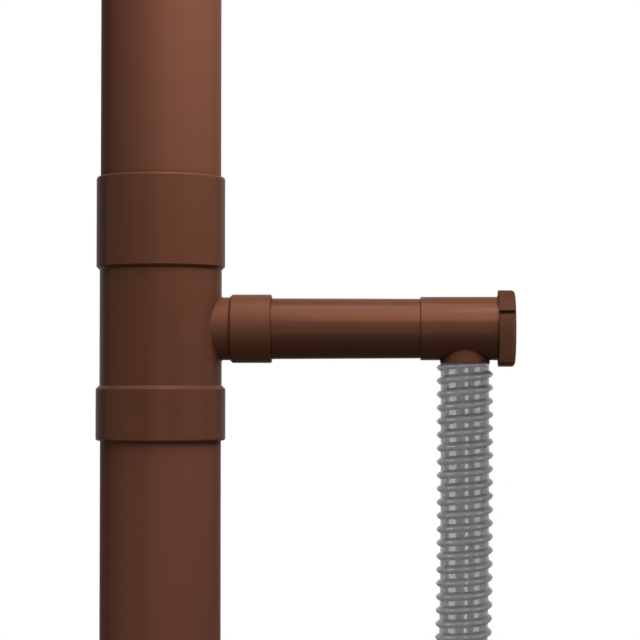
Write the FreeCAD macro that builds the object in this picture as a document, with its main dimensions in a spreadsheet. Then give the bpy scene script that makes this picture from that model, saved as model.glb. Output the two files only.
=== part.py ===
import FreeCAD, Part
import math
import os

import Sketcher

# Rainwater diverter in a round downpipe, in millimetres.
# The origin is the centre of the upper downpipe's top end. +Z points up the pipe and +X along the arm.
# Every piece is drawn in a frame of its own and then placed on the branch's level, which is the height
# of the arm's centre line.

SIZES = [
    ("pipe_diameter", 100.0, "outside of both downpipes"),
    ("pipe_wall", 2.0, "wall of both downpipes"),
    ("pipe_top_height", 300.0, "branch level up to the upper pipe's top end"),
    ("pipe_bottom_depth", 290.0, "branch level down to the lower pipe's bottom end"),
    ("pipe_clearance", 0.3, "gap all round between a pipe and its socket"),
    ("body_step", 0.6, "how far the body between its collars stands out over the pipes"),
    ("body_wall", 2.0, "wall of the body between its collars"),
    ("upper_socket_wall", 3.05, "wall of the upper collar"),
    ("upper_mouth_height", 126.0, "branch level up to the upper collar's mouth"),
    ("upper_stop_height", 53.0, "branch level up to the shoulder that the upper pipe stands on"),
    ("upper_collar_height", 48.7, "branch level up to the underside of the upper collar"),
    ("lower_socket_wall", 3.4, "wall of the lower collar"),
    ("lower_mouth_depth", 92.5, "branch level down to the lower collar's mouth"),
    ("lower_stop_depth", 50.5, "branch level down to the stop on the lower pipe"),
    ("lower_collar_depth", 46.8, "branch level down to the top of the lower collar"),
    ("upper_mouth_radius", 2.4, "rounding of the upper collar's mouth"),
    ("lower_mouth_radius", 2.0, "rounding of the lower collar's mouth"),
    ("mouth_radius", 1.0, "rounding of the branch's and the outlet's mouths"),
    ("drip_lip_gap", 0.6, "gap between the drip lip and the lower pipe's bore"),
    ("drip_lip_wall", 1.6, "wall of the drip lip"),
    ("drip_lip_length", 22.0, "reach of the drip lip into the lower pipe"),
    ("drip_lip_taper", 0.7, "how much the drip lip narrows at its tip"),
    ("drip_lip_taper_length", 4.0, "length of that taper"),
    ("branch_wall", 2.6, "wall of the branch's neck"),
    ("branch_step", 2.3, "how far the branch's collar stands out over its neck"),
    ("branch_reach", 41.6, "side of the body out to the branch's mouth"),
    ("branch_collar_length", 34.6, "length of the branch's collar"),
    ("branch_collar_wall", 2.85, "wall of the branch's collar"),
    ("branch_socket_depth", 30.0, "depth of the branch's socket"),
    ("branch_root_radius", 1.5, "rounding where the branch's neck meets the body"),
    ("arm_clearance", 0.15, "gap all round between the arm and its sockets"),
    ("arm_diameter", 50.8, "outside of the arm at the body's end"),
    ("arm_taper", 1.6, "how much narrower the arm is at the outlet's end"),
    ("arm_wall", 1.9, "wall of the arm"),
    ("arm_length", 173.0, "length of the arm tube"),
    ("ring_gap", 0.3, "gap all round between the collector ring and the body"),
    ("ring_floor", 2.5, "thickness of the collector ring's floor"),
    ("gutter_width", 12.6, "body's bore in to the weir"),
    ("weir_wall", 2.0, "wall of the weir"),
    ("weir_height", 43.5, "height of the weir above the collector ring's floor"),
    ("weir_corner", 2.0, "rounding where the weir meets the floor"),
    ("outlet_wall", 1.4, "wall of the outlet's socket"),
    ("outlet_length", 71.3, "length of the outlet from mouth to threaded end"),
    ("outlet_socket_depth", 20.0, "depth of the outlet's socket"),
    ("spigot_offset", 36.7, "outlet's mouth to the spigot's centre line"),
    ("spigot_root_wall", 2.8, "wall of the spigot where it leaves the outlet"),
    ("spigot_shoulder_wall", 4.8, "wall of the spigot at its shoulder over the hose"),
    ("spigot_flare", 13.3, "length over which the spigot widens"),
    ("spigot_reach", 2.05, "underside of the outlet down to the spigot's shoulder"),
    ("hose_tail_wall", 1.9, "wall of the hose tail between its barbs"),
    ("hose_tail_neck", 3.0, "plain length above the first barb"),
    ("barb_count", 3, "barbs on the hose tail"),
    ("barb_pitch", 10.0, "distance from barb to barb"),
    ("barb_height", 0.9, "how far a barb stands out over the hose tail"),
    ("hose_bore", 38.0, "bore of the hose"),
    ("hose_wall", 4.5, "hose's bore out to its ridge crests"),
    ("hose_fit", 0.2, "gap between a barb's edge and the hose's bore"),
    ("cap_wall", 3.75, "wall of the cap's skirt"),
    ("cap_depth", 13.6, "depth of the cap"),
    ("cap_floor", 3.5, "thickness of the cap's closed end"),
    ("cap_edge_radius", 3.0, "rounding of the cap's outer edge"),
    ("cap_thread_room", 1.55, "room for the thread between the neck and the cap's skirt"),
    ("cap_turned", 66.5, "degrees by which the cap stands turned when it is tight"),
    ("grip_count", 4, "grip slots round the cap"),
    ("grip_width", 3.6, "width of a grip slot"),
    ("grip_depth", 2.9, "depth of a grip slot"),
    ("seal_thickness", 3.0, "thickness of the cap's seal"),
    ("seal_clearance", 0.3, "gap between the seal's edge and the cap's skirt"),
    ("seal_setback", 0.1, "how far the seal's bore stands back from the outlet's"),
]

# The hose's route from the middle of the spigot's shoulder, as (x, z) seen from the front. It hangs
# straight and swings in a little towards the pipe below.
HOSE_ROUTE = [
    (0.0, 0.0),
    (0.0, -121.7),
    (-1.7, -246.7),
    (-8.7, -371.7),
    (-22.6, -499.1),
]
BEND_SHARE = 0.45  # share of the shorter run that a bend of the hose may take up
SAME_PLACE = 0.01  # two rims closer than this along an axis are at the same end

# Heights, places and radii that follow from the sizes.
PIPE_RADIUS = "(Sizes.pipe_diameter / 2)"
PIPE_BORE = f"({PIPE_RADIUS} - Sizes.pipe_wall)"
SOCKET_RADIUS = f"({PIPE_RADIUS} + Sizes.pipe_clearance)"
BODY_RADIUS = f"({PIPE_RADIUS} + Sizes.body_step)"
BODY_BORE = f"({BODY_RADIUS} - Sizes.body_wall)"
UPPER_COLLAR = f"({SOCKET_RADIUS} + Sizes.upper_socket_wall)"
LOWER_COLLAR = f"({SOCKET_RADIUS} + Sizes.lower_socket_wall)"
LIP_OUTSIDE = f"({PIPE_BORE} - Sizes.drip_lip_gap)"
LIP_INSIDE = f"({LIP_OUTSIDE} - Sizes.drip_lip_wall)"
LIP_TIP = "(-Sizes.lower_stop_depth - Sizes.drip_lip_length)"

ARM_RADIUS = "(Sizes.arm_diameter / 2)"
ARM_TIP_RADIUS = f"({ARM_RADIUS} - Sizes.arm_taper / 2)"
ARM_TIP_BORE = f"({ARM_TIP_RADIUS} - Sizes.arm_wall)"
ARM_SLOPE = "Sizes.arm_taper / 2 / Sizes.arm_length"
ARM_SOCKET = f"({ARM_RADIUS} + Sizes.arm_clearance)"
BRANCH_COLLAR = f"({ARM_SOCKET} + Sizes.branch_collar_wall)"
BRANCH_NECK = f"({BRANCH_COLLAR} - Sizes.branch_step)"
BRANCH_BORE = f"({BRANCH_NECK} - Sizes.branch_wall)"
BRANCH_MOUTH = f"({BODY_RADIUS} + Sizes.branch_reach)"
BRANCH_COLLAR_START = f"({BRANCH_MOUTH} - Sizes.branch_collar_length)"
BRANCH_STOP = f"({BRANCH_MOUTH} - Sizes.branch_socket_depth)"
FLOOR_TOP = f"(-{BRANCH_BORE})"
LEDGE = f"({FLOOR_TOP} - Sizes.ring_floor)"
WEIR_OUTSIDE = f"({BODY_BORE} - Sizes.gutter_width)"

OUTLET_SOCKET = f"({ARM_TIP_RADIUS} + {ARM_SLOPE} * Sizes.outlet_socket_depth + Sizes.arm_clearance)"
OUTLET_RADIUS = f"({OUTLET_SOCKET} + Sizes.outlet_wall)"
OUTLET_MOUTH = f"({BRANCH_STOP} + Sizes.arm_length - Sizes.outlet_socket_depth)"
BARB_RADIUS = "(Sizes.hose_bore / 2 - Sizes.hose_fit)"
TAIL_RADIUS = f"({BARB_RADIUS} - Sizes.barb_height)"
TAIL_BORE = f"({TAIL_RADIUS} - Sizes.hose_tail_wall)"
SHOULDER = f"(-{OUTLET_RADIUS} - Sizes.spigot_reach)"
FIRST_BARB = f"({SHOULDER} - Sizes.hose_tail_neck)"
TAIL_TIP = f"({FIRST_BARB} - Sizes.barb_count * Sizes.barb_pitch)"
CAP_BORE = f"({OUTLET_RADIUS} + Sizes.cap_thread_room)"
CAP_RADIUS = f"({CAP_BORE} + Sizes.cap_wall)"
SEAL_SEAT = f"({OUTLET_MOUTH} + Sizes.outlet_length)"
CAP_MOUTH = f"({SEAL_SEAT} + Sizes.seal_thickness + Sizes.cap_floor - Sizes.cap_depth)"

doc = FreeCAD.newDocument("rainwater_diverter")
sheet = doc.addObject("Spreadsheet::Sheet", "Sizes")
for row, (alias, value, meaning) in enumerate(SIZES, start=1):
    sheet.set(f"A{row}", alias)
    sheet.set(f"B{row}", str(value))
    sheet.set(f"C{row}", meaning)
    sheet.setAlias(f"B{row}", alias)
doc.recompute()


def size(alias):
    """A size from the sheet, as a number."""
    return float(sheet.get(alias))


def new_piece(label, along="0"):
    """An empty body for one piece, set down on branch level and so far along the arm."""
    piece = doc.addObject("PartDesign::Body", label)
    piece.Label = label
    piece.setExpression("Placement.Base.x", along)
    piece.setExpression("Placement.Base.z", "-Sizes.pipe_top_height")
    return piece


def base_plane(piece, role):
    """One of the piece's own three base planes."""
    return next(item for item in piece.Origin.OriginFeatures if item.Role == role)


def hold(sketch, kind, point, start, expression):
    """Hold one corner across or up from the sketch's origin by an expression."""
    if expression == "0":
        axis = -2 if kind == "DistanceX" else -1
        sketch.addConstraint(Sketcher.Constraint("PointOnObject", point, 1, axis))
        return
    number = sketch.addConstraint(Sketcher.Constraint(kind, -1, 1, point, 1, start))
    sketch.setExpression(f"Constraints[{number}]", expression)


def outline(piece, name, corners, role="XZ_Plane", shift="0"):
    """A closed outline on one of the piece's planes. Each corner is a pair of expressions."""
    sketch = piece.newObject("Sketcher::SketchObject", name)
    sketch.AttachmentSupport = [(base_plane(piece, role), "")]
    sketch.MapMode = "FlatFace"
    sketch.setExpression("AttachmentOffset.Base.x", shift)
    count = len(corners)
    turn = 2 * math.pi / count
    start = [
        FreeCAD.Vector(60 + 40 * math.cos(turn * number), 60 + 40 * math.sin(turn * number), 0)
        for number in range(count)
    ]
    for number in range(count):
        sketch.addGeometry(Part.LineSegment(start[number], start[(number + 1) % count]), False)
    for number in range(count):
        sketch.addConstraint(Sketcher.Constraint("Coincident", number, 2, (number + 1) % count, 1))
    for number, (across, up) in enumerate(corners):
        hold(sketch, "DistanceX", number, start[number].x, across)
        hold(sketch, "DistanceY", number, start[number].y, up)
    return sketch


def turned(piece, name, corners, axis, cut=False, shift="0"):
    """Turn an outline about the sketch's upright or level axis, to add to the piece or to cut it."""
    sketch = outline(piece, name + "_outline", corners, shift=shift)
    kind = "PartDesign::Groove" if cut else "PartDesign::Revolution"
    feature = piece.newObject(kind, name)
    feature.Profile = sketch
    feature.ReferenceAxis = (sketch, [axis])
    feature.Angle = 360
    doc.recompute()
    return feature


def rims(feature, direction):
    """Names of the round rims that lie furthest in a direction, the smallest rim first."""
    found = []
    for number, edge in enumerate(feature.Shape.Edges, start=1):
        if isinstance(edge.Curve, Part.Circle) and edge.isClosed():
            centre = edge.Curve.Center
            found.append((edge.Curve.Radius, centre.dot(direction), f"Edge{number}"))
    reach = max(place for radius, place, name in found)
    return [name for radius, place, name in sorted(found) if place > reach - SAME_PLACE]


def saddle(feature):
    """Names of the edges where one round wall runs into another that crosses it."""
    plain = (Part.Circle, Part.Line)
    edges = enumerate(feature.Shape.Edges, start=1)
    return [f"Edge{number}" for number, edge in edges if not isinstance(edge.Curve, plain)]


def rounded(piece, name, edges, radius):
    """Round some edges of the piece's last feature."""
    base = piece.Tip
    fillet = piece.newObject("PartDesign::Fillet", name)
    fillet.Base = (base, edges)
    fillet.setExpression("Radius", radius)
    piece.Tip = fillet
    doc.recompute()
    return fillet


UP = FreeCAD.Vector(0, 0, 1)
DOWN = FreeCAD.Vector(0, 0, -1)
OUT = FreeCAD.Vector(1, 0, 0)
IN = FreeCAD.Vector(-1, 0, 0)


def make_diverter_body():
    """The moulded tee: two pipe sockets, a branch, an inner ledge and a drip lip, all in one piece."""
    piece = new_piece("diverter_body")
    upper_step = f"({UPPER_COLLAR} - {BODY_RADIUS})"
    lower_step = f"({LOWER_COLLAR} - {BODY_RADIUS})"
    turned(
        piece,
        "barrel",
        [
            ("0", "-Sizes.lower_mouth_depth"),
            (LOWER_COLLAR, "-Sizes.lower_mouth_depth"),
            (LOWER_COLLAR, f"-Sizes.lower_collar_depth - {lower_step}"),
            (BODY_RADIUS, "-Sizes.lower_collar_depth"),
            (BODY_RADIUS, "Sizes.upper_collar_height"),
            (UPPER_COLLAR, f"Sizes.upper_collar_height + {upper_step}"),
            (UPPER_COLLAR, "Sizes.upper_mouth_height"),
            ("0", "Sizes.upper_mouth_height"),
        ],
        "V_Axis",
    )
    branch = turned(
        piece,
        "branch",
        [
            ("0", "0"),
            ("0", BRANCH_NECK),
            (BRANCH_COLLAR_START, BRANCH_NECK),
            (f"{BRANCH_COLLAR_START} + Sizes.branch_step", BRANCH_COLLAR),
            (BRANCH_MOUTH, BRANCH_COLLAR),
            (BRANCH_MOUTH, "0"),
        ],
        "H_Axis",
    )
    rounded(piece, "branch_root", saddle(branch), "Sizes.branch_root_radius")
    turned(
        piece,
        "waterway",
        [
            ("0", "-Sizes.lower_mouth_depth"),
            (SOCKET_RADIUS, "-Sizes.lower_mouth_depth"),
            (SOCKET_RADIUS, "-Sizes.lower_stop_depth"),
            (LIP_OUTSIDE, "-Sizes.lower_stop_depth"),
            (LIP_OUTSIDE, f"{LIP_TIP} + Sizes.drip_lip_taper_length"),
            (f"{LIP_OUTSIDE} - Sizes.drip_lip_taper", LIP_TIP),
            (LIP_INSIDE, LIP_TIP),
            (LIP_INSIDE, LEDGE),
            (BODY_BORE, LEDGE),
            (BODY_BORE, "Sizes.upper_stop_height"),
            (SOCKET_RADIUS, "Sizes.upper_stop_height"),
            (SOCKET_RADIUS, "Sizes.upper_mouth_height"),
            ("0", "Sizes.upper_mouth_height"),
        ],
        "V_Axis",
        cut=True,
    )
    branch_way = turned(
        piece,
        "branch_way",
        [
            ("0", "0"),
            ("0", BRANCH_BORE),
            (BRANCH_STOP, BRANCH_BORE),
            (BRANCH_STOP, ARM_SOCKET),
            (BRANCH_MOUTH, ARM_SOCKET),
            (BRANCH_MOUTH, "0"),
        ],
        "H_Axis",
        cut=True,
    )
    upper = rounded(piece, "upper_mouth", rims(branch_way, UP)[-1:], "Sizes.upper_mouth_radius")
    lower = rounded(piece, "lower_mouth", rims(upper, DOWN)[-1:], "Sizes.lower_mouth_radius")
    rounded(piece, "branch_mouth", rims(lower, OUT)[-1:], "Sizes.mouth_radius")
    return piece


def make_collector_ring():
    """The gutter ring: a floor on the body's ledge and an upright weir round the open middle."""
    piece = new_piece("collector_ring")
    inside = f"{WEIR_OUTSIDE} - Sizes.weir_wall"
    edge = f"{BODY_BORE} - Sizes.ring_gap"
    weir_top = f"{FLOOR_TOP} + Sizes.weir_height"
    ring = turned(
        piece,
        "ring",
        [
            (inside, LEDGE),
            (edge, LEDGE),
            (edge, FLOOR_TOP),
            (WEIR_OUTSIDE, FLOOR_TOP),
            (WEIR_OUTSIDE, weir_top),
            (inside, weir_top),
        ],
        "V_Axis",
    )
    foot = rounded(piece, "weir_foot", [foot_of(ring, rims(ring, UP)[-1])], "Sizes.weir_corner")
    rounded(piece, "weir_edge", rims(foot, UP), "Sizes.weir_wall * 0.4")
    return piece


def foot_of(feature, name):
    """The rim at the other end of the upright round face that ends in the named rim."""
    top = feature.Shape.getElement(name).Curve
    for number, edge in enumerate(feature.Shape.Edges, start=1):
        same_face = isinstance(edge.Curve, Part.Circle) and abs(edge.Curve.Radius - top.Radius) < SAME_PLACE
        if same_face and abs(edge.Curve.Center.z - top.Center.z) > SAME_PLACE:
            return f"Edge{number}"
    raise RuntimeError(f"{name} has no foot")


def make_downpipe(label, low, high):
    """A plain length of downpipe between two heights."""
    piece = new_piece(label)
    corners = [(PIPE_BORE, low), (PIPE_RADIUS, low), (PIPE_RADIUS, high), (PIPE_BORE, high)]
    turned(piece, label + "_wall", corners, "V_Axis")
    return piece


def make_arm_tube():
    """The side arm, a tube that narrows towards the outlet."""
    piece = new_piece("arm_tube", BRANCH_STOP)
    turned(
        piece,
        "arm_wall_turned",
        [
            ("0", f"{ARM_RADIUS} - Sizes.arm_wall"),
            ("Sizes.arm_length", ARM_TIP_BORE),
            ("Sizes.arm_length", ARM_TIP_RADIUS),
            ("0", ARM_RADIUS),
        ],
        "H_Axis",
    )
    return piece


def barb_corners():
    """The hose tail's saw-toothed side, from its neck down: square on top, tapered below."""
    corners = []
    for number in range(int(size("barb_count"))):
        top = f"{FIRST_BARB} - {number} * Sizes.barb_pitch"
        corners.append((TAIL_RADIUS, top))
        corners.append((BARB_RADIUS, top))
        corners.append((TAIL_RADIUS, f"{top} - Sizes.barb_pitch * 0.8"))
    return corners


def make_outlet_tee():
    """The outlet: a socket on the arm, a neck for the cap and a spigot with a barbed hose tail."""
    piece = new_piece("outlet_tee", OUTLET_MOUTH)
    length = "Sizes.outlet_length"
    turned(
        piece,
        "outlet_barrel",
        [("0", "0"), ("0", OUTLET_RADIUS), (length, OUTLET_RADIUS), (length, "0")],
        "H_Axis",
    )
    root = f"{TAIL_BORE} + Sizes.spigot_root_wall"
    spigot = [
        ("0", "0"),
        (root, "0"),
        (root, f"{SHOULDER} + Sizes.spigot_flare"),
        (f"{TAIL_BORE} + Sizes.spigot_shoulder_wall", SHOULDER),
        (TAIL_RADIUS, SHOULDER),
        *barb_corners(),
        (TAIL_RADIUS, TAIL_TIP),
        ("0", TAIL_TIP),
    ]
    turned(piece, "spigot", spigot, "V_Axis", shift="Sizes.spigot_offset")
    turned(
        piece,
        "outlet_way",
        [
            ("0", "0"),
            ("0", OUTLET_SOCKET),
            ("Sizes.outlet_socket_depth", OUTLET_SOCKET),
            ("Sizes.outlet_socket_depth", ARM_TIP_BORE),
            (length, ARM_TIP_BORE),
            (length, "0"),
        ],
        "H_Axis",
        cut=True,
    )
    drain = turned(
        piece,
        "drain_way",
        [("0", "0"), (TAIL_BORE, "0"), (TAIL_BORE, TAIL_TIP), ("0", TAIL_TIP)],
        "V_Axis",
        cut=True,
        shift="Sizes.spigot_offset",
    )
    rounded(piece, "outlet_mouth", rims(drain, IN)[-1:], "Sizes.mouth_radius")
    return piece


def make_end_cap():
    """The screw cap: a deep round lid with slots round its rim for the fingers."""
    piece = new_piece("end_cap", CAP_MOUTH)
    piece.Placement.Rotation = FreeCAD.Rotation(OUT, 1)
    piece.setExpression("Placement.Rotation.Angle", "Sizes.cap_turned")
    floor = "Sizes.cap_depth - Sizes.cap_floor"
    lid = turned(
        piece,
        "lid",
        [
            ("0", CAP_BORE),
            ("0", CAP_RADIUS),
            ("Sizes.cap_depth", CAP_RADIUS),
            ("Sizes.cap_depth", "0"),
            (floor, "0"),
            (floor, CAP_BORE),
        ],
        "H_Axis",
    )
    rounded(piece, "cap_edge", rims(lid, OUT)[-1:], "Sizes.cap_edge_radius")
    slot_floor = f"{CAP_RADIUS} - Sizes.grip_depth"
    beyond = f"{CAP_RADIUS} + Sizes.grip_depth"
    half = "Sizes.grip_width / 2"
    section = outline(
        piece,
        "grip_outline",
        [(f"-{half}", slot_floor), (half, slot_floor), (half, beyond), (f"-{half}", beyond)],
        role="YZ_Plane",
    )
    whole = piece.Tip.Shape.Volume
    slot = piece.newObject("PartDesign::Pocket", "grip_slot")
    slot.Profile = section
    slot.Type = "ThroughAll"
    slot.Reversed = True
    doc.recompute()
    if slot.Shape.Volume >= whole:
        raise RuntimeError("the grip slot cut nothing")
    slots = piece.newObject("PartDesign::PolarPattern", "grip_slots")
    slots.Originals = [slot]
    slots.Axis = (section, ["N_Axis"])
    slots.Angle = 360
    slots.setExpression("Occurrences", "Sizes.grip_count")
    piece.Tip = slots
    doc.recompute()
    return piece


def make_cap_seal():
    """The flat rubber ring that the cap presses on the neck's end."""
    piece = new_piece("cap_seal", SEAL_SEAT)
    bore = f"{ARM_TIP_BORE} + Sizes.seal_setback"
    edge = f"{CAP_BORE} - Sizes.seal_clearance"
    thick = "Sizes.seal_thickness"
    turned(piece, "seal_ring", [("0", bore), ("0", edge), (thick, edge), (thick, bore)], "H_Axis")
    return piece


def bend(before, corner, after):
    """The arc that takes a path round a corner: its two ends, a point between them and its radius."""
    back = before - corner
    ahead = after - corner
    trim = BEND_SHARE * min(back.Length, ahead.Length)
    half_turn = (math.pi - back.getAngle(ahead)) / 2
    radius = trim / math.tan(half_turn)
    back.normalize()
    ahead.normalize()
    inward = (back + ahead).normalize()
    middle = corner + inward * (radius / math.cos(half_turn) - radius)
    return corner + back * trim, middle, corner + ahead * trim, radius


def make_drain_hose():
    """The hose, as a plain tube along its route: straight runs joined by large tangent arcs."""
    points = [FreeCAD.Vector(x, 0, z) for x, z in HOSE_ROUTE]
    edges = []
    radii = []
    start = points[0]
    for before, corner, after in zip(points, points[1:], points[2:]):
        arc_start, middle, arc_end, radius = bend(before, corner, after)
        edges.append(Part.LineSegment(start, arc_start).toShape())
        edges.append(Part.Arc(arc_start, middle, arc_end).toShape())
        radii.append(round(radius))
        start = arc_end
    edges.append(Part.LineSegment(start, points[-1]).toShape())
    path = Part.Wire(edges)
    along = points[1] - points[0]
    bore = size("hose_bore") / 2
    crest = bore + size("hose_wall")
    tubes = []
    for radius in (crest, bore):
        ring = Part.Wire(Part.Circle(points[0], along, radius).toShape())
        tubes.append(path.makePipeShell([ring], True, False))
    hose = doc.addObject("Part::Feature", "drain_hose")
    hose.Label = "drain_hose"
    hose.Shape = tubes[0].cut(tubes[1])
    hose.setExpression("Placement.Base.x", f"{OUTLET_MOUTH} + Sizes.spigot_offset")
    hose.setExpression("Placement.Base.z", f"{SHOULDER} - Sizes.pipe_top_height")
    section = math.pi * (crest**2 - bore**2)
    print("hose length", round(path.Length, 1), "bend radii", radii)
    print("hose volume over section times length", round(hose.Shape.Volume / (section * path.Length), 4))
    return hose


pieces = [
    make_downpipe("upper_downpipe", "Sizes.upper_stop_height", "Sizes.pipe_top_height"),
    make_downpipe("lower_downpipe", "-Sizes.pipe_bottom_depth", "-Sizes.lower_stop_depth"),
    make_diverter_body(),
    make_collector_ring(),
    make_arm_tube(),
    make_outlet_tee(),
    make_end_cap(),
    make_cap_seal(),
    make_drain_hose(),
]
doc.recompute()

for item in doc.Objects:
    if "Invalid" in item.State or "Error" in item.State:
        raise RuntimeError(f"{item.Name} failed: {item.State}")
for piece in pieces:
    if piece.Shape.isNull() or not piece.Shape.isValid() or len(piece.Shape.Solids) != 1:
        raise RuntimeError(f"{piece.Label} is not one valid solid")

os.makedirs("parts", exist_ok=True)
for piece in pieces:
    piece.Shape.exportStep(f"parts/{piece.Label}.step")
    print(piece.Label, round(piece.Shape.Volume / 1000, 2), "cm3")
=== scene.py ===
# %% [markdown]
# # A rainwater diverter in a downpipe
#
# A diverter stands in a round downpipe and sends part of the rain through a side arm and a ridged
# hose into a water butt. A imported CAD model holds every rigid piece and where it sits. This script
# loads that model as a fixed frame, gives each piece the finish of the real plastic, makes the hose
# and the threads that the solids only stand for, and lights it as a small product studio would.
#
# Everything is in metres and in the model's own frame: the origin is the centre of the upper pipe's
# top end, +Z points up the pipe and +X along the side arm.

import math

import bmesh
import bpy
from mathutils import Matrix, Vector


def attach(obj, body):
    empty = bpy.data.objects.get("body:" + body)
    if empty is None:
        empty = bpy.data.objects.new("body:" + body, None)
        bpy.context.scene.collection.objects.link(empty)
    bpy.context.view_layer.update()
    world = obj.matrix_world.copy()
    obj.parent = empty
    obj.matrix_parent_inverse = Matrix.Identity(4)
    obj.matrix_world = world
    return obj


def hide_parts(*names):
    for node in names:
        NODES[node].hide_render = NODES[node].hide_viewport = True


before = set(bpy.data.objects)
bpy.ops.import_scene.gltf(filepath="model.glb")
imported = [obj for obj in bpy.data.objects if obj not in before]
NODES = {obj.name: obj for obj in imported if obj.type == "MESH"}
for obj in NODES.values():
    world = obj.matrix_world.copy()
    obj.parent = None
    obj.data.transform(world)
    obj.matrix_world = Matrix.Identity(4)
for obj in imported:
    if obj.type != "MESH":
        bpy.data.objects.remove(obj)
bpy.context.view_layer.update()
MM = 0.001


print("pieces:", ", ".join(sorted(NODES)))

# %% [markdown]
# ## The camera
#
# The picture that this scene follows looks almost straight along +Y, from a little below the arm and
# with a long lens. Two facts set such a camera: how far it stands from the object, which decides how
# round the collars' rims look, and how many millimetres of the object one pixel covers. The lens
# follows from those two. Aiming it at the picture's middle with a tracking rotation needs no angles
# worked out by hand.

# %% Camera
PICTURE_SIDE = 640  # pixels
PIXEL = 0.827 * MM  # what one pixel covers at the pipe's axis
CAMERA_PLACE = Vector((0.200, -1.750, -0.346))
PICTURE_MIDDLE = Vector((0.1323, 0.0, -0.2928))
SENSOR_WIDTH = 36.0  # mm

camera_data = bpy.data.cameras.new("studio_camera")
camera_data.sensor_width = SENSOR_WIDTH
camera_data.lens = SENSOR_WIDTH * -CAMERA_PLACE.y / (PICTURE_SIDE * PIXEL)
camera = bpy.data.objects.new("studio_camera", camera_data)
camera.location = CAMERA_PLACE
camera.rotation_mode = "QUATERNION"
camera.rotation_quaternion = (PICTURE_MIDDLE - CAMERA_PLACE).to_track_quat("-Z", "Y")
bpy.context.scene.collection.objects.link(camera)
bpy.context.scene.camera = camera
print("lens in mm:", round(camera_data.lens, 1))

# %% [markdown]
# ## One helper for nodes
#
# Materials and Geometry Nodes are both trees of nodes. One small function adds a node, sets its
# settings, and fills its inputs. An input that is given another node is linked to that node's first
# output, one that is given a socket is linked to it, and any other value is set on the input itself.


# %% Add a node
def add_node(tree, kind, inputs=None, **settings):
    """Adds a node of a kind to a tree, with its settings, values and links."""
    node = tree.nodes.new(kind)
    for name, value in settings.items():
        setattr(node, name, value)
    for key, value in (inputs or {}).items():
        source = value.outputs[0] if isinstance(value, bpy.types.Node) else value
        if isinstance(source, bpy.types.NodeSocket):
            tree.links.new(source, node.inputs[key])
        else:
            node.inputs[key].default_value = source
    return node


def paint(code):
    """An sRGB hex colour as the linear colour that a shader takes."""
    channels = [int(code[start : start + 2], 16) / 255 for start in (1, 3, 5)]
    linear = [c / 12.92 if c <= 0.04045 else ((c + 0.055) / 1.055) ** 2.4 for c in channels]
    return (*linear, 1.0)


print("mid brown in linear light:", [round(value, 3) for value in paint("#6f4534")])

# %% [markdown]
# ## The hose's line
#
# The real hose is half a metre of soft PVC that hangs from the spigot by its own weight and swings
# in a little towards the downpipe. A curve with a few control points bends the way a hose does, and
# a NURBS spline never shows where one point ends and the next begins. The points are those of the
# solid's own route. The order and the end points are set after the points exist, because a spline
# that has too few points when they are set falls back to straight runs.

# %% Hose centre line
HOSE_EXIT = Vector((0.2519, 0.0, -0.32829))
# Each point is how far along X and Z it lies from the exit.
HOSE_ROUTE_MM = [(0.0, 0.0), (0.0, -121.7), (-1.7, -246.7), (-8.7, -371.7), (-22.6, -499.1)]

line_data = bpy.data.curves.new("hose_line", "CURVE")
line_data.dimensions = "3D"
spline = line_data.splines.new("NURBS")
spline.points.add(len(HOSE_ROUTE_MM) - 1)
for point, (x, z) in zip(spline.points, HOSE_ROUTE_MM):
    point.co = (*(HOSE_EXIT + Vector((x, 0.0, z)) * MM), 1.0)
spline.order_u = 3
spline.use_endpoint_u = True
spline.resolution_u = 40
line_object = bpy.data.objects.new("hose_line", line_data)
bpy.context.scene.collection.objects.link(line_object)
bpy.context.view_layer.update()
depsgraph = bpy.context.evaluated_depsgraph_get()
line_mesh = bpy.data.meshes.new_from_object(line_object.evaluated_get(depsgraph))
hose_path = [vertex.co.copy() for vertex in line_mesh.vertices]
hose_length = sum((b - a).length for a, b in zip(hose_path, hose_path[1:]))
print("hose line:", len(hose_path), "points,", round(hose_length / MM, 1), "mm")

# %% [markdown]
# ## PVC, as it comes from each tool
#
# Every piece but the seal is PVC, the plastic of nearly all rainwater goods, coloured right through.
# What tells the pieces apart is how each was made. A pipe is extruded: it is drawn out of a round
# die and keeps very faint lines along its length. The fitting is injection moulded in a
# spark-eroded mould, which leaves a fine even grain and a satin look. The arm and the outlet come
# from polished tools and are the glossiest, and the cap's blasted mould gives it the dullest skin.
#
# So one function builds the shared recipe, and each finish differs by a few facts: its colour, its
# roughness, the size and depth of its grain in millimetres, and how far that grain is drawn out.
# The pigment is in the skin as well, so the brown pieces' reflections are tinted, and the level of
# the gloss is under the usual 0.5 because the real skin is finely rough. A rough skin also shades
# itself where it turns away, so the gloss falls off towards the outline in place of the white rim
# that a perfect surface would show in a white room. And the tone is darkened in the corners, where a
# collar meets a wall: an ambient occlusion node paints shade into the colour there.

# %% Numbers that all these plastics share
PVC_IOR = 1.53
NOISE_SPAN = {"From Min": 0.3, "From Max": 0.7}  # nearly all of a noise's values lie between these
TONE_DRIFT = 0.04  # share by which the tone wanders
SKIN_DRIFT = 0.1  # share by which the roughness wanders
PAINTED_SHADE_REACH = 4.0 * MM  # painted shade reaches this far out of a corner
PAINTED_SHADE_TONE = 0.4  # share of the tone left deep in a corner under the painted shade
PAINTED_SHADE_SPAN = {"From Min": 0.4, "From Max": 0.9}  # how open the place is where the painted shade is darkest, and where it ends
TURNING_SPAN = {"From Min": 0.1, "From Max": 0.5}  # how far it has turned away as the gloss falls
PIGMENT = "#ffa47d"  # what the brown pigment does to a white reflection
CLEAR = "#ffffff"
print("index of refraction:", PVC_IOR, "- corners reach", round(PAINTED_SHADE_REACH / MM, 1), "mm")


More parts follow.
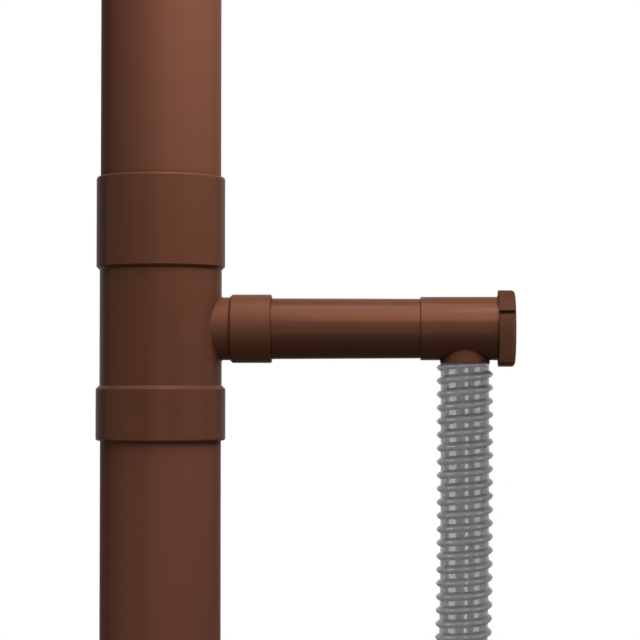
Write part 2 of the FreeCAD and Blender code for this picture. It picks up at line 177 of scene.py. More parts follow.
# %% The recipe
def plastic(name, colour, roughness, gloss, tint, grain_mm, depth_mm, drawn=1.0, cloud_mm=45.0, edge=0.05):
    """A plastic with slow clouds in its tone, painted shade in its corners, a fine grain and a roughness
    that wanders a little.
    """
    material = bpy.data.materials.new(name)
    material.use_nodes = True
    tree = material.node_tree
    shader = tree.nodes["Principled BSDF"]
    shader.inputs["IOR"].default_value = PVC_IOR
    shader.inputs["Specular Tint"].default_value = paint(tint)
    place = add_node(tree, "ShaderNodeTexCoord").outputs["Object"]
    lengthways = add_node(tree, "ShaderNodeMapping", {"Vector": place, "Scale": (1.0, 1.0, 1.0 / drawn)})
    clouds = add_node(
        tree,
        "ShaderNodeTexNoise",
        {"Vector": lengthways, "Scale": 1.0 / (cloud_mm * MM), "Detail": 3.0},
    )
    drift = add_node(
        tree,
        "ShaderNodeMapRange",
        {"Value": clouds, **NOISE_SPAN, "To Min": 1.0 - TONE_DRIFT, "To Max": 1.0 + TONE_DRIFT},
    )
    # Painted shade: ambient occlusion darkens the base colour in corners and creases.
    openness = add_node(tree, "ShaderNodeAmbientOcclusion", {"Distance": PAINTED_SHADE_REACH}, samples=8)
    painted_corner_shade = add_node(
        tree,
        "ShaderNodeMapRange",
        {"Value": openness.outputs["AO"], **PAINTED_SHADE_SPAN, "To Min": PAINTED_SHADE_TONE},
    )
    tone = add_node(tree, "ShaderNodeMath", {0: drift, 1: painted_corner_shade}, operation="MULTIPLY")
    toned = add_node(tree, "ShaderNodeVectorMath", {0: paint(colour)[:3], "Scale": tone}, operation="SCALE")
    tree.links.new(toned.outputs["Vector"], shader.inputs["Base Color"])
    grain = add_node(
        tree,
        "ShaderNodeTexNoise",
        {"Vector": lengthways, "Scale": 1.0 / (grain_mm * MM), "Detail": 4.0, "Roughness": 0.6},
    )
    smoothest = roughness * (1.0 - SKIN_DRIFT)
    roughest = roughness * (1.0 + SKIN_DRIFT)
    skin = add_node(
        tree,
        "ShaderNodeMapRange",
        {"Value": grain, **NOISE_SPAN, "To Min": smoothest, "To Max": roughest},
    )
    tree.links.new(skin.outputs["Result"], shader.inputs["Roughness"])
    turned_away = add_node(tree, "ShaderNodeLayerWeight", {"Blend": 0.5}).outputs["Facing"]
    sheen = add_node(
        tree,
        "ShaderNodeMapRange",
        {"Value": turned_away, **TURNING_SPAN, "To Min": gloss, "To Max": gloss * edge},
    )
    shader.inputs["Specular IOR Level"].default_value = gloss
    tree.links.new(sheen.outputs["Result"], shader.inputs["Specular IOR Level"])
    bump = add_node(tree, "ShaderNodeBump", {"Height": grain, "Strength": 0.6, "Distance": depth_mm * MM})
    tree.links.new(bump.outputs["Normal"], shader.inputs["Normal"])
    print(f"{name}: {colour}, roughness {roughness}, grain {grain_mm} mm")
    return material


# %% The brown pieces
# Extruded: a satin skin with lines about a millimetre apart, drawn out forty times as long.
extruded_pipe = plastic(
    "extruded_pvc_pipe",
    "#895744",
    roughness=0.42,
    gloss=0.1,
    tint=PIGMENT,
    grain_mm=1.2,
    depth_mm=0.02,
    drawn=40.0,
)
# Moulded in a spark-eroded mould: an even, satin skin. Its real grain is near a tenth of a millimetre,
# which is too fine to show, so it is drawn at half a millimetre.
moulded_fitting = plastic(
    "moulded_pvc_fitting", "#764b38", roughness=0.34, gloss=0.24, tint=PIGMENT, grain_mm=0.5, depth_mm=0.015
)
# The ring inside is moulded in the same way and a shade darker.
moulded_ring = plastic(
    "moulded_pvc_ring", "#64402f", roughness=0.4, gloss=0.2, tint=PIGMENT, grain_mm=0.5, depth_mm=0.015
)
# From polished tools: hardly any grain, and a clear reflection of the lamp above.
polished_arm = plastic(
    "polished_pvc_arm", "#6f4634", roughness=0.2, gloss=0.22, tint=PIGMENT, grain_mm=2.5, depth_mm=0.004
)
# The cap's mould is blasted, so its skin is nearly matt. Its grain is drawn coarser than it is as well.
matt_cap = plastic(
    "matt_pvc_cap", "#57372a", roughness=0.5, gloss=0.08, tint=PIGMENT, grain_mm=0.4, depth_mm=0.02
)

# %% [markdown]
# ## Rubber and soft PVC
#
# The seal in the cap is black EPDM rubber, dull and almost without colour. Pure black would look
# like a hole, so its grey is about one percent.
#
# The hose is plasticised PVC, a soft grey plastic with a smooth skin, because it is wound hot over a
# steel rod. The clear reflection of that skin is what shows the ribs, and it stays clear up to the
# outline. Soft PVC also lets some light in, which comes out again a few millimetres away and softens
# the shade between the ribs, so this one shader has some Subsurface.

# %% The seal and the hose
seal_rubber = plastic(
    "epdm_rubber_seal", "#1b1b1a", roughness=0.7, gloss=0.35, tint=CLEAR, grain_mm=0.8, depth_mm=0.02
)
soft_hose = plastic(
    "soft_pvc_hose",
    "#7f7f7f",
    roughness=0.15,
    gloss=0.32,
    tint=CLEAR,
    grain_mm=6.0,
    depth_mm=0.02,
    cloud_mm=14.0,
    edge=1.0,
)
hose_shader = soft_hose.node_tree.nodes["Principled BSDF"]
hose_shader.inputs["Subsurface Weight"].default_value = 0.8
hose_shader.inputs["Subsurface Radius"].default_value = (1.0, 1.0, 1.0)
hose_shader.inputs["Subsurface Scale"].default_value = 5.0 * MM

# %% [markdown]
# ## The ridged hose
#
# This hose is a thin wall with a stiff round rib wound about it, and the rib is one single helix, so
# no ring closes on itself. Stacking rings would be wrong, and modelling the rib as a second tube
# would leave a hard seam. Geometry Nodes can do it as one surface: a flat grid is rolled round the
# hose's line, and each point's radius depends on how far it is from the rib, measured along the hose
# and round it at the same time.
#
# The rib's section is a bell. With u as the distance from its crest over half its width, the height
# is (1 - u squared) to a power near 1, which is round at the crest and meets the wall steeply. The
# rib fades in over the first few millimetres, where it is pared down to fit under the spigot.

# %% Hose sizes
HOSE_SIZES = {
    "Length": hose_length,
    "Core radius": 20.05 * MM,  # outside of the wall between the ribs
    "Wall": 1.0 * MM,
    "Rib height": 3.3 * MM,
    "Rib width": 6.7 * MM,  # from foot to foot
    "Pitch": 11.11 * MM,
    "First rib": 9.35 * MM,  # from the hose's top to the rib, on the side away from the pipe
}
RIB_BELL = 1.0  # the bell's power
TRIMMED = 2.5 * MM  # the rib is pared down this close to the spigot
SAMPLES_A_TURN = 30  # rows of points in one pitch of the rib
SAMPLES_ROUND = 64
BORE_ROWS = 60  # the bore is plain, so it needs few

hose_tree = bpy.data.node_groups.new("wound_hose", "GeometryNodeTree")
hose_tree.interface.new_socket("Geometry", in_out="INPUT", socket_type="NodeSocketGeometry")
for name in HOSE_SIZES:
    hose_tree.interface.new_socket(name, in_out="INPUT", socket_type="NodeSocketFloat")
hose_tree.interface.new_socket("Material", in_out="INPUT", socket_type="NodeSocketMaterial")
hose_tree.interface.new_socket("Geometry", in_out="OUTPUT", socket_type="NodeSocketGeometry")
given = add_node(hose_tree, "NodeGroupInput").outputs
centre_line = add_node(hose_tree, "GeometryNodeMeshToCurve", {"Mesh": given["Geometry"]})
bore_radius = add_node(
    hose_tree,
    "ShaderNodeMath",
    {0: given["Core radius"], 1: given["Wall"]},
    operation="SUBTRACT",
)
half_rib = add_node(hose_tree, "ShaderNodeMath", {0: given["Rib width"], 1: 0.5}, operation="MULTIPLY")
print("hose inputs:", ", ".join(HOSE_SIZES))


# %% Radius of the ribbed wall
def ribbed_radius(along, turn):
    """The outside radius at a distance along the hose and a share of a turn round it."""
    past = add_node(hose_tree, "ShaderNodeMath", {0: along, 1: given["First rib"]}, operation="SUBTRACT")
    pitches = add_node(hose_tree, "ShaderNodeMath", {0: past, 1: given["Pitch"]}, operation="DIVIDE")
    phase = add_node(hose_tree, "ShaderNodeMath", {0: pitches, 1: turn}, operation="ADD")
    off = add_node(hose_tree, "ShaderNodeMath", {0: phase, 1: 0.5}, operation="PINGPONG")
    distance = add_node(hose_tree, "ShaderNodeMath", {0: off, 1: given["Pitch"]}, operation="MULTIPLY")
    share = add_node(hose_tree, "ShaderNodeMath", {0: distance, 1: half_rib}, operation="DIVIDE")
    square = add_node(hose_tree, "ShaderNodeMath", {0: share, 1: share}, operation="MULTIPLY")
    left = add_node(hose_tree, "ShaderNodeMath", {0: 1.0, 1: square}, operation="SUBTRACT", use_clamp=True)
    bell = add_node(hose_tree, "ShaderNodeMath", {0: left, 1: RIB_BELL}, operation="POWER")
    trimmed = add_node(hose_tree, "ShaderNodeMapRange", {"Value": along, "From Max": TRIMMED})
    kept = add_node(hose_tree, "ShaderNodeMath", {0: bell, 1: trimmed}, operation="MULTIPLY")
    rise = add_node(hose_tree, "ShaderNodeMath", {0: kept, 1: given["Rib height"]}, operation="MULTIPLY")
    return add_node(hose_tree, "ShaderNodeMath", {0: rise, 1: given["Core radius"]}, operation="ADD")


# %% Roll a grid round the line
ACROSS = (0.0, 1.0, 0.0)  # the hose hangs in the plane of the pipe and the arm


def rolled(rows, start, end, radius_at):
    """A grid rolled round the hose's line from start to end. radius_at gives each point's radius."""
    grid = add_node(
        hose_tree,
        "GeometryNodeMeshGrid",
        {"Size X": 1.0, "Size Y": 1.0, "Vertices X": rows, "Vertices Y": SAMPLES_ROUND + 1},
    )
    spot_on_grid = add_node(hose_tree, "GeometryNodeInputPosition")
    flat = add_node(hose_tree, "ShaderNodeSeparateXYZ", {0: spot_on_grid})
    step = add_node(hose_tree, "ShaderNodeMath", {0: flat.outputs["X"], 1: 0.5}, operation="ADD")
    turn = add_node(hose_tree, "ShaderNodeMath", {0: flat.outputs["Y"], 1: 0.5}, operation="ADD")
    along = add_node(hose_tree, "ShaderNodeMapRange", {"Value": step, "To Min": start, "To Max": end})
    angle = add_node(hose_tree, "ShaderNodeMath", {0: turn, 1: 2 * math.pi}, operation="MULTIPLY")
    radius = radius_at(step, along, turn)
    sample = add_node(
        hose_tree,
        "GeometryNodeSampleCurve",
        {"Curves": centre_line, "Length": along},
        mode="LENGTH",
        use_all_curves=True,
    )
    vector_math = "ShaderNodeVectorMath"
    tangent = sample.outputs["Tangent"]
    outward = add_node(hose_tree, vector_math, {0: tangent, 1: ACROSS}, operation="CROSS_PRODUCT")
    cosine = add_node(hose_tree, "ShaderNodeMath", {0: angle}, operation="COSINE")
    sine = add_node(hose_tree, "ShaderNodeMath", {0: angle}, operation="SINE")
    out_share = add_node(hose_tree, vector_math, {0: outward, "Scale": cosine}, operation="SCALE")
    across_share = add_node(hose_tree, vector_math, {0: ACROSS, "Scale": sine}, operation="SCALE")
    facing = add_node(hose_tree, vector_math, {0: out_share, 1: across_share}, operation="ADD")
    reach = add_node(hose_tree, vector_math, {0: facing, "Scale": radius}, operation="SCALE")
    spot = add_node(hose_tree, vector_math, {0: sample.outputs["Position"], 1: reach}, operation="ADD")
    return add_node(hose_tree, "GeometryNodeSetPosition", {"Geometry": grid, "Position": spot})


# %% Outside, bore and the two cut ends
outside_rows = int(hose_length / HOSE_SIZES["Pitch"] * SAMPLES_A_TURN)
outside = rolled(outside_rows, 0.0, given["Length"], lambda step, along, turn: ribbed_radius(along, turn))
bore = rolled(BORE_ROWS, 0.0, given["Length"], lambda step, along, turn: bore_radius)
bore = add_node(hose_tree, "GeometryNodeFlipFaces", {"Mesh": bore})


def end_radius(step, along, turn):
    """Runs from the bore's radius to the ribbed one, for the flat ring at an end."""
    ribbed = ribbed_radius(along, turn)
    return add_node(
        hose_tree,
        "ShaderNodeMapRange",
        {"Value": step, "To Min": bore_radius, "To Max": ribbed},
    )


top_ring = rolled(2, 0.0, 0.0, end_radius)
bottom_ring = rolled(2, given["Length"], given["Length"], end_radius)
bottom_ring = add_node(hose_tree, "GeometryNodeFlipFaces", {"Mesh": bottom_ring})
print("hose grid:", outside_rows, "rows outside,", BORE_ROWS, "in the bore,", SAMPLES_ROUND, "round")

# %% Join and finish the hose tree
walls = add_node(hose_tree, "GeometryNodeJoinGeometry")
for part in (outside, bore):
    hose_tree.links.new(part.outputs[0], walls.inputs[0])
walls = add_node(hose_tree, "GeometryNodeSetShadeSmooth", {"Geometry": walls})
rings = add_node(hose_tree, "GeometryNodeJoinGeometry")
for part in (top_ring, bottom_ring):
    hose_tree.links.new(part.outputs[0], rings.inputs[0])
rings = add_node(hose_tree, "GeometryNodeSetShadeSmooth", {"Geometry": rings, "Shade Smooth": False})
whole = add_node(hose_tree, "GeometryNodeJoinGeometry")
for part in (walls, rings):
    hose_tree.links.new(part.outputs[0], whole.inputs[0])
closed = add_node(hose_tree, "GeometryNodeMergeByDistance", {"Geometry": whole, "Distance": 0.01 * MM})
real = add_node(hose_tree, "GeometryNodeRealizeInstances", {"Geometry": closed})
finished = add_node(hose_tree, "GeometryNodeSetMaterial", {"Geometry": real, "Material": given["Material"]})
add_node(hose_tree, "NodeGroupOutput", {"Geometry": finished})
print("hose tree:", len(hose_tree.nodes), "nodes")


# %% Turn a node tree into a plain mesh
def mesh_from_tree(name, source, tree, values):
    """Runs a Geometry Nodes tree on a mesh and returns its result as a new plain object."""
    host = bpy.data.objects.new(name + "_host", source)
    bpy.context.scene.collection.objects.link(host)
    modifier = host.modifiers.new("nodes", "NODES")
    modifier.node_group = tree
    keys = {item.name: item.identifier for item in tree.interface.items_tree if item.in_out == "INPUT"}
    for label, value in values.items():
        modifier[keys[label]] = value
    bpy.context.view_layer.update()
    ready = host.evaluated_get(bpy.context.evaluated_depsgraph_get())
    mesh = bpy.data.meshes.new_from_object(ready)
    bpy.data.objects.remove(host)
    mesh.name = name
    made = bpy.data.objects.new(name, mesh)
    bpy.context.scene.collection.objects.link(made)
    print(name, "has", len(mesh.polygons), "faces")
    return made


# %% Make the hose
hose = mesh_from_tree("ridged_hose", line_mesh, hose_tree, {**HOSE_SIZES, "Material": soft_hose})
bpy.data.objects.remove(line_object)
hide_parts("drain_hose")
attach(hose, "diverter")
ends_mm = [[round(value / MM, 1) for value in end] for end in (hose_path[0], hose_path[-1])]
print("hose from", ends_mm[0], "to", ends_mm[1], "in mm")

# %% [markdown]
# ## The cap's thread
#
# The cap screws on the outlet's neck, and both have a coarse right-handed thread that climbs 3 mm a
# turn. The solids leave it out, with a gap where it belongs. A thread is a section swept along a
# helix: Curve Spiral gives the helix about Z, and Curve to Mesh sweeps a section with sloped sides
# along it. The section shrinks to nothing at both ends, as a moulded thread runs out.
#
# The neck's thread stands outwards from the neck and the cap's stands inwards from its skirt. Both
# come from one tree, in which a side of 1 or -1 turns the section out or in. The cap's is turned by
# half a turn, so the two interlock and stay so however far the cap is screwed.

# %% Thread tree
ARM_LEVEL = -300.0 * MM  # height of the arm's centre line
THREAD_LEAD = 3.0 * MM
SPIRAL_POINTS = 96  # in one turn
RUN_OUT = 0.08  # share of the thread's length in which each end shrinks
TIP = 0.05  # share of the section that is left at the very end

thread_tree = bpy.data.node_groups.new("moulded_thread", "GeometryNodeTree")
thread_tree.interface.new_socket("Geometry", in_out="INPUT", socket_type="NodeSocketGeometry")
for name in ("Radius", "Lead", "Turns", "Height", "Side", "Foot width", "Crest width", "Start", "Turned"):
    thread_tree.interface.new_socket(name, in_out="INPUT", socket_type="NodeSocketFloat")
thread_tree.interface.new_socket("Material", in_out="INPUT", socket_type="NodeSocketMaterial")
thread_tree.interface.new_socket("Geometry", in_out="OUTPUT", socket_type="NodeSocketGeometry")
given = add_node(thread_tree, "NodeGroupInput").outputs
climb = add_node(thread_tree, "ShaderNodeMath", {0: given["Lead"], 1: given["Turns"]}, operation="MULTIPLY")
helix = add_node(
    thread_tree,
    "GeometryNodeCurveSpiral",
    {
        "Resolution": SPIRAL_POINTS,
        "Rotations": given["Turns"],
        "Start Radius": given["Radius"],
        "End Radius": given["Radius"],
        "Height": climb,
        "Reverse": True,  # right-handed
    },
)
upright = add_node(thread_tree, "GeometryNodeSetCurveNormal", {"Curve": helix}, mode="Z_UP")
print("helix climbs", round(THREAD_LEAD / MM, 1), "mm a turn")

# %% Sweep the thread's section
section = add_node(
    thread_tree,
    "GeometryNodeCurvePrimitiveQuadrilateral",
    {
        "Height": given["Height"],
        "Bottom Width": given["Foot width"],
        "Top Width": given["Crest width"],
        "Offset": 0.0,
    },
    mode="TRAPEZOID",
)
half_height = add_node(thread_tree, "ShaderNodeMath", {0: given["Height"], 1: 0.5}, operation="MULTIPLY")
outwards = add_node(thread_tree, "ShaderNodeMath", {0: half_height, 1: given["Side"]}, operation="MULTIPLY")
lift = add_node(thread_tree, "ShaderNodeCombineXYZ", {"X": outwards})
quarter = add_node(thread_tree, "ShaderNodeMath", {0: given["Side"], 1: -math.pi / 2}, operation="MULTIPLY")
tipped = add_node(thread_tree, "ShaderNodeCombineXYZ", {"Z": quarter})
footed = add_node(
    thread_tree,
    "GeometryNodeTransform",
    {"Geometry": section, "Translation": lift, "Rotation": tipped},
)
share = add_node(thread_tree, "GeometryNodeSplineParameter").outputs["Factor"]
from_end = add_node(thread_tree, "ShaderNodeMath", {0: share, 1: 0.5}, operation="PINGPONG")
fade = add_node(thread_tree, "ShaderNodeMapRange", {"Value": from_end, "From Max": RUN_OUT, "To Min": TIP})
swept = add_node(
    thread_tree,
    "GeometryNodeCurveToMesh",
    {"Curve": upright, "Profile Curve": footed, "Scale": fade, "Fill Caps": True},
)
turned = add_node(thread_tree, "ShaderNodeCombineXYZ", {"Z": given["Turned"]})
swept = add_node(thread_tree, "GeometryNodeTransform", {"Geometry": swept, "Rotation": turned})
place = add_node(thread_tree, "ShaderNodeCombineXYZ", {"X": given["Start"], "Z": ARM_LEVEL})
laid = add_node(
    thread_tree,
    "GeometryNodeTransform",
    {"Geometry": swept, "Translation": place, "Rotation": (0.0, math.pi / 2, 0.0)},
)
real = add_node(thread_tree, "GeometryNodeRealizeInstances", {"Geometry": laid})
finished = add_node(
    thread_tree,
    "GeometryNodeSetMaterial",
    {"Geometry": real, "Material": given["Material"]},
)
add_node(thread_tree, "NodeGroupOutput", {"Geometry": finished})
print("thread tree:", len(thread_tree.nodes), "nodes")

# %% Both threads
NECK_RADIUS = 26.2 * MM  # just under the neck's skin
SKIRT_RADIUS = 27.85 * MM  # just behind the skirt's inner skin
blank = bpy.data.meshes.new("blank")
shared = {
    "Lead": THREAD_LEAD,
    "Turns": 1.4,
    "Height": 1.25 * MM,
    "Foot width": 1.6 * MM,
    "Crest width": 0.4 * MM,
    "Start": 281.4 * MM,  # along X, just inside the cap's mouth
}
neck_sizes = {"Radius": NECK_RADIUS, "Side": 1.0, "Turned": 0.0, "Material": polished_arm}
cap_sizes = {"Radius": SKIRT_RADIUS, "Side": -1.0, "Turned": math.pi, "Material": matt_cap}
neck_thread = mesh_from_tree("neck_thread", blank, thread_tree, {**shared, **neck_sizes})
cap_thread = mesh_from_tree("cap_thread", blank, thread_tree, {**shared, **cap_sizes})
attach(neck_thread, "diverter")
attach(cap_thread, "cap")

# %% [markdown]
# ## Marks that the moulds leave
#
# A moulded piece shows where its mould came apart: a hair-thin ridge that the eye catches only where
# light grazes it. The cap has one along its side, a little below the middle of what the camera sees,
# and its twin behind. The fitting has one round its body, under the branch. A cap is filled through
# the middle of its end face, and the plastic that is twisted off there leaves a small round scar.
#
# A ridge is three rows of points along a spine: two feet just under the skin and a crest between.
# A scar is a low profile turned about an axis. Both are a few lines of bmesh.


# %% From a bmesh to an object
def plain_object(name, shape):
    """Makes a bmesh an object of the scene, at the origin and unscaled."""
    mesh = bpy.data.meshes.new(name)
    shape.to_mesh(mesh)
    made = bpy.data.objects.new(name, mesh)
    bpy.context.scene.collection.objects.link(made)
    print(name, "has", len(mesh.polygons), "faces")
    return made


# %% A hair-thin ridge
SUNK = 0.05 * MM  # how far feet stand below the skin


def ridge(name, spine, outward, sideways, width, height, closed=False):
    """A thin ridge along a spine of points, with the way out of the skin and across at each."""
    shape = bmesh.new()
    rows = []
    for point, out, side in zip(spine, outward, sideways):
        left = point - out * SUNK - side * width / 2
        crest = point + out * height
        right = point - out * SUNK + side * width / 2
        rows.append([shape.verts.new(corner) for corner in (left, crest, right)])
    pairs = list(zip(rows, rows[1:]))
    if closed:
        pairs.append((rows[-1], rows[0]))
    for here, there in pairs:
        for a, b in ((0, 1), (1, 2), (2, 0)):
            shape.faces.new((here[a], here[b], there[b], there[a]))
    if not closed:
        shape.faces.new(rows[0])
        shape.faces.new(rows[-1])
    bmesh.ops.recalc_face_normals(shape, faces=shape.faces)
    return plain_object(name, shape)


# %% The cap's two parting lines
CAP_SKIN = 31.54 * MM
CAP_SEAM_RUN = (279.9 * MM, 289.6 * MM)  # from the mouth to the rounded edge
CAP_SEAM_ANGLE = math.radians(-5.0)  # above the side that faces the camera
SEAM_HEIGHT = 0.12 * MM  # the fitting's is as high

seam_front = Vector((0.0, -math.cos(CAP_SEAM_ANGLE), math.sin(CAP_SEAM_ANGLE)))
cap_seams = []
for label, out in (("front", seam_front), ("back", -seam_front)):
    across = Vector((1.0, 0.0, 0.0)).cross(out)
    spine = [Vector((x, 0.0, ARM_LEVEL)) + out * CAP_SKIN for x in CAP_SEAM_RUN]
    seam = ridge(f"cap_seam_{label}", spine, [out] * 2, [across] * 2, width=0.5 * MM, height=SEAM_HEIGHT)
    seam.data.materials.append(matt_cap)
    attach(seam, "cap")
    cap_seams.append(seam)

# %% The fitting's parting line
BODY_SKIN = 50.6 * MM
BODY_SEAM_LEVEL = ARM_LEVEL - 25.3 * MM
SEAM_STEPS = 128

ring_turns = [math.tau * n / SEAM_STEPS for n in range(SEAM_STEPS)]
ring_out = [Vector((math.cos(turn), math.sin(turn), 0.0)) for turn in ring_turns]
ring_spine = [out * BODY_SKIN + Vector((0.0, 0.0, BODY_SEAM_LEVEL)) for out in ring_out]
ring_up = [Vector((0.0, 0.0, 1.0))] * SEAM_STEPS
body_seam = ridge(
    "body_seam", ring_spine, ring_out, ring_up, width=0.8 * MM, height=SEAM_HEIGHT, closed=True
)
body_seam.data.materials.append(moulded_fitting)
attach(body_seam, "diverter")


# %% The cap's gate scar
def turned_scar(name, profile, centre, steps=32):
    """A low round scar: a profile of (radius, height) pairs, turned about +X at a centre."""
    shape = bmesh.new()
    rings = []
    for radius, height in profile:
        rings.append([])
        for n in range(steps):
            angle = math.tau * n / steps
            offset = Vector((height, radius * math.cos(angle), radius * math.sin(angle)))
            rings[-1].append(shape.verts.new(centre + offset))
    for inner, outer in zip(rings, rings[1:]):
        for n in range(steps):
            shape.faces.new((inner[n], inner[n - 1], outer[n - 1], outer[n]))
    shape.faces.new(rings[0])
    shape.faces.new(rings[-1])
    bmesh.ops.recalc_face_normals(shape, faces=shape.faces)
    return plain_object(name, shape)


CAP_FACE = Vector((293.0 * MM, 0.0, ARM_LEVEL))
SCAR_MM = [(0.7, 0.25), (1.2, 0.3), (1.6, 0.15), (1.9, -0.05)]  # a dished nub that runs into the face
scar = turned_scar("cap_gate_scar", [(r * MM, h * MM) for r, h in SCAR_MM], CAP_FACE)
scar.data.materials.append(matt_cap)
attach(scar, "cap")

# %% [markdown]
# ## Dress the solids
#
# The rigid solids already have the real shapes, so they only get their finishes. Each one's material
# slots are filled, and the frame's meshes stay as they came.

# %% Finishes of the solids
FINISHES = {
    "upper_downpipe": extruded_pipe,
    "lower_downpipe": extruded_pipe,
    "diverter_body": moulded_fitting,
    "collector_ring": moulded_ring,
    "arm_tube": polished_arm,
    "outlet_tee": polished_arm,
    "end_cap": matt_cap,
    "cap_seal": seal_rubber,
}
for name, finish in FINISHES.items():
    node = NODES[name]
    if not node.material_slots:
        node.data.materials.append(finish)
    for slot in node.material_slots:
        slot.material = finish
print("dressed", len(FINISHES), "solids")

# %% [markdown]
# ## Floor and background
#
# The background is white, and it stays white however little light falls on it: Light Path tells the
# world whether a ray comes from the camera, a reflection or a glass, and those rays find white, while
# the rays that light the object find a dim grey. The floor is a pale disc under the hose's end. Seen
# directly, most of its white is its own, and the rest is what the lamps give it, so the object's
# shadow still shows on it. Towards its rim its own share grows until it meets the background.

# %% World
world = bpy.data.worlds.new("studio_world")
world.use_nodes = True
bpy.context.scene.world = world
bpy.context.scene.view_settings.view_transform = "Standard"
tree = world.node_tree
tree.nodes.clear()
WHITE = (1.0, 1.0, 1.0, 1.0)
AMBIENT = 0.03  # how strongly the room itself lights the object
rays = add_node(tree, "ShaderNodeLightPath").outputs
seen = rays["Is Camera Ray"]
for kind_of_ray in ("Is Glossy Ray", "Is Transmission Ray"):
    seen = add_node(tree, "ShaderNodeMath", {0: seen, 1: rays[kind_of_ray]}, operation="MAXIMUM")
dim = add_node(tree, "ShaderNodeBackground", {"Color": WHITE, "Strength": AMBIENT})
bright = add_node(tree, "ShaderNodeBackground", {"Color": WHITE, "Strength": 1.0})
chosen = add_node(tree, "ShaderNodeMixShader", {0: seen, 1: dim, 2: bright})
add_node(tree, "ShaderNodeOutputWorld", {"Surface": chosen})
print("white background, dim ambient light")

# %% Floor
FLOOR_LEVEL = -0.95  # a hand's width below the hose's end
FLOOR_RADIUS = 1.5
FLOOR_MIDDLE = (0.1, 0.0, FLOOR_LEVEL)
PLAIN_RADIUS = 0.5  # inside it the floor's own glow is even
FLOOR_GLOW = 0.72  # the floor's own share of white there
SEEN_GREY = (0.4, 0.4, 0.4, 1.0)  # takes the lamps' light and the shadow, as the camera sees it
PAPER_GREY = (0.3, 0.3, 0.3, 1.0)  # what lights the object from below

floor_shape = bmesh.new()
bmesh.ops.create_circle(floor_shape, cap_ends=True, segments=96, radius=FLOOR_RADIUS)
bmesh.ops.translate(floor_shape, verts=floor_shape.verts, vec=FLOOR_MIDDLE)
floor = plain_object("pale_floor", floor_shape)

floor_paper = bpy.data.materials.new("pale_floor_paper")
floor_paper.use_nodes = True
tree = floor_paper.node_tree
tree.nodes.clear()
place = add_node(tree, "ShaderNodeTexCoord").outputs["Object"]
from_middle = add_node(tree, "ShaderNodeVectorMath", {0: place, 1: FLOOR_MIDDLE}, operation="DISTANCE")
own = add_node(
    tree,
    "ShaderNodeMapRange",
    {
        "Value": from_middle.outputs["Value"],
        "From Min": PLAIN_RADIUS,
        "From Max": FLOOR_RADIUS,
        "To Min": FLOOR_GLOW,
        "To Max": 1.0,
    },
)
glow = add_node(tree, "ShaderNodeEmission", {"Color": WHITE, "Strength": own})
lit = add_node(tree, "ShaderNodeBsdfDiffuse", {"Color": SEEN_GREY})
direct = add_node(tree, "ShaderNodeAddShader", {0: glow, 1: lit})
paper = add_node(tree, "ShaderNodeBsdfDiffuse", {"Color": PAPER_GREY})
rays = add_node(tree, "ShaderNodeLightPath").outputs
surface = add_node(tree, "ShaderNodeMixShader", {0: rays["Is Camera Ray"], 1: paper, 2: direct})
add_node(tree, "ShaderNodeOutputMaterial", {"Surface": surface})
floor.data.materials.append(floor_paper)
print("floor at", FLOOR_LEVEL, "m")

# %% [markdown]
# ## Lamps
#
# The light comes from one large softbox high in front and to the right. Its lower edge is a good way
# above the arm, which is why the arm's reflection of it ends in a clear line halfway down, and why
# the underside stays dark. A small lamp to the right of it brightens the arm's upper side, and a faint
# one with a narrow grid, low in front, lifts the lower pipe out of the dark. A third small one, below
# the cap and for the cap alone, keeps its underside as light as its front. A wide one behind lights
# the back for whoever walks round the object. It is left out of reflections, because a mirror image
# of it would draw a bright line along every outline that the camera sees.

# %% Softboxes
AIM = Vector((0.12, 0.0, -0.3))
PIPE_AIM = Vector((0.0, 0.0, -0.53))
HOSE_AIM = Vector((0.25, 0.0, -0.49))
CAP_AIM = Vector((0.287, 0.0, -0.3))


def softbox(name, place, width, height, power, aim=AIM, spread=180):
    """A rectangular area lamp that faces the object. A spread under 180 degrees is a grid on its front."""
    data = bpy.data.lights.new(name, "AREA")
    data.shape = "RECTANGLE"
    data.size = width
    data.size_y = height
    data.energy = power
    data.spread = math.radians(spread)
    lamp = bpy.data.objects.new(name, data)
    lamp.location = place
    lamp.rotation_mode = "QUATERNION"
    lamp.rotation_quaternion = (aim - lamp.location).to_track_quat("-Z", "Y")
    lamp.visible_camera = False
    bpy.context.scene.collection.objects.link(lamp)
    print(name, power, "W at", [round(value, 2) for value in place])
    return lamp


key = softbox("key_softbox", (0.2, -0.54, 0.76), width=0.45, height=1.74, power=12.8)
high_right = softbox("high_right", (0.42, -0.2, 0.2), width=0.3, height=0.3, power=1.4)
pipe_front = softbox(
    "pipe_front", (0.0, -1.6, -0.7), width=0.3, height=0.3, power=0.028, aim=PIPE_AIM, spread=16
)
back_fill = softbox("back_fill", (0.05, 1.5, -0.1), width=1.6, height=1.2, power=16.0)
back_fill.visible_glossy = False
cap_low = softbox("cap_low", (0.4, -0.15, -0.78), width=0.15, height=0.15, power=0.6, aim=CAP_AIM)

# %% [markdown]
# ## The hose's own lamps
#
# Light from above would leave each rib pale on top and black underneath. In the picture the ribs are
# even, and three columns of bright patches run down the wall between them. Patches like these are
# mirror images of lamps that stand level with the hose, so three upright softboxes do: one left, one
# right and one in front. Where they stand sets where the patches lie, and how wide they are sets how
# wide the patches are.
#
# A photographer would keep them off the brown pieces with cards. Light Linking does the same here: it
# names the pieces that a lamp lights, or the ones that it leaves out. The right one also reaches the
# cap, whose end would be black without it, and the lamps for the brown pieces leave the hose out.

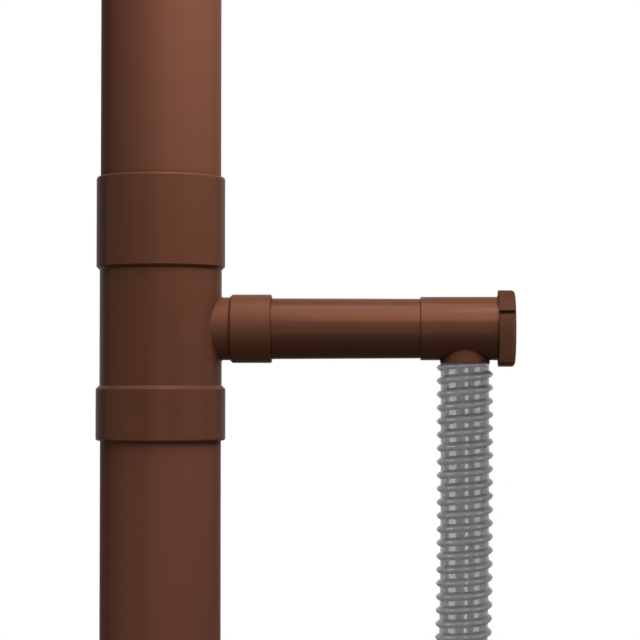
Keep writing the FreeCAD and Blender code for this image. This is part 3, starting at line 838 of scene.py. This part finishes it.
# %% Lamps for the hose
STRIP_LEVEL = -0.52
same_for_all = {"height": 0.9, "aim": HOSE_AIM}
left_strip = softbox("left_strip", (-0.9, -0.61, STRIP_LEVEL), width=0.85, power=14.0, **same_for_all)
right_strip = softbox("right_strip", (1.376, -0.65, STRIP_LEVEL), width=0.62, power=10.0, **same_for_all)
front_strip = softbox("front_strip", (0.47, -1.75, STRIP_LEVEL), width=0.38, power=10.0, **same_for_all)


def link_light(lamp, pieces, state):
    """Lets a lamp light only these pieces (INCLUDE), or all but these (EXCLUDE)."""
    chosen = bpy.data.collections.new(lamp.name + "_pieces")
    for piece in pieces:
        chosen.objects.link(piece)
    for entry in chosen.collection_objects:
        entry.light_linking.link_state = state
    lamp.light_linking.receiver_collection = chosen
    print(lamp.name, state.lower(), [piece.name for piece in pieces])


for lamp in (left_strip, front_strip):
    link_light(lamp, [hose], "INCLUDE")
cap_outside = [NODES["end_cap"], scar, *cap_seams]
link_light(right_strip, [hose, *cap_outside], "INCLUDE")
link_light(cap_low, cap_outside, "INCLUDE")
for lamp in (key, high_right, pipe_front):
    link_light(lamp, [hose], "EXCLUDE")

# %% [markdown]
# ## Black flags
#
# The white room is mirrored in the hose as well and would wash the patches out. Two frames of black
# cloth, one on each side of the camera, keep its reflections dark between the three lamps, as flags
# do in a studio. The camera doesn't see them.

# %% Flags
black_cloth = bpy.data.materials.new("black_cloth")
black_cloth.use_nodes = True
cloth = black_cloth.node_tree.nodes["Principled BSDF"]
cloth.inputs["Base Color"].default_value = paint("#141414")
cloth.inputs["Roughness"].default_value = 0.9
cloth.inputs["Specular IOR Level"].default_value = 0.1

FLAG_SIDES = (1.3, 0.01, 0.8)
FLAG_Y = -1.9  # a little behind the camera
FLAG_LEVEL = -0.55
for name, x in {"left_flag": -0.62, "right_flag": 1.3}.items():
    shape = bmesh.new()
    bmesh.ops.create_cube(shape, size=1.0)
    bmesh.ops.scale(shape, verts=shape.verts, vec=FLAG_SIDES)
    bmesh.ops.translate(shape, verts=shape.verts, vec=(x, FLAG_Y, FLAG_LEVEL))
    flag = plain_object(name, shape)
    flag.visible_camera = False
    flag.data.materials.append(black_cloth)
